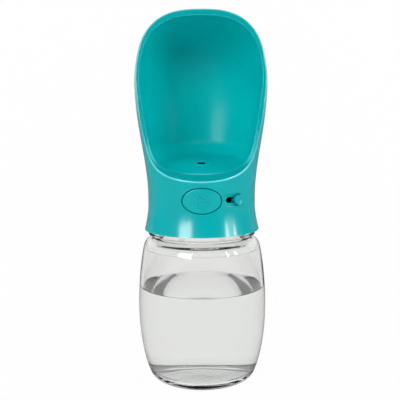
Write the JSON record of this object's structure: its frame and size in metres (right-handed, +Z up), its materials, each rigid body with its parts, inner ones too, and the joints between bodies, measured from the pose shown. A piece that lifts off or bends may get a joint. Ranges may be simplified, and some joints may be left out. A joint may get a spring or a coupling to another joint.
{
  "type": "dog travel water bottle",
  "caption": "Clear bottle with a screw-on collar that rises into a drinking scoop, with an oval push-button valve and a sliding lock.",
  "frame": {"origin": "centre of the bottle's foot, on the surface it stands on", "axes": "+Z up along the bottle's axis, the scoop opens towards -Y"},
  "size_m": [0.072, 0.07, 0.2],
  "materials": {
    "clear_plastic": "clear, glossy, food-grade plastic",
    "teal_plastic": "satin to glossy moulded plastic",
    "pale_plastic": "natural white moulded plastic",
    "silicone": "translucent white silicone rubber",
    "steel": "plain stainless steel"
  },
  "bodies": {
    "bottle": {"bottle": "clear_plastic"},
    "lift_ring": {"neck_seal": "silicone"},
    "rise_ring": {"outlet_seal": "silicone"},
    "head": {"head_shell": "teal_plastic", "inner_cover": "pale_plastic", "cover_screws": "steel", "inlet_seal": "silicone", "valve_barrel": "pale_plastic", "barrel_screws": "steel", "return_spring": "steel"},
    "button": {"button_cap": "teal_plastic", "valve_stem": "pale_plastic", "o_ring_front": "silicone", "o_ring_middle": "silicone", "o_ring_rear": "silicone", "stem_clip": "steel"},
    "lock": {"lock_slider": "teal_plastic", "lock_knob": "teal_plastic"}
  },
  "joints": [
    {"name": "head_lift", "type": "slide", "parent": "bottle", "child": "lift_ring", "axis": [0, 0, 1], "range_m": [0, 0.085]},
    {"name": "thread_rise", "type": "slide", "parent": "lift_ring", "child": "rise_ring", "axis": [0, 0, 1], "range_m": [0, 0.005]},
    {"name": "head_unscrew", "type": "hinge", "parent": "rise_ring", "child": "head", "pos_m": [0, 0, 0.086], "axis": [0, 0, 1], "range_deg": [0, 450]},
    {"name": "button_press", "type": "slide", "parent": "head", "child": "button", "axis": [0, 1, 0], "range_m": [0, 0.004], "stiffness_N_per_m": 900, "springref_m": -0.002, "deforming": ["return_spring"]},
    {"name": "lock_slide", "type": "hinge", "parent": "head", "child": "lock", "pos_m": [0, 0, 0.1003], "axis": [0, 0, -1], "range_deg": [0, 10.8]}
  ],
  "couplings": [
    {"joint": "thread_rise", "follows": "head_unscrew", "m_per_rad": 0.00063662}
  ]
}
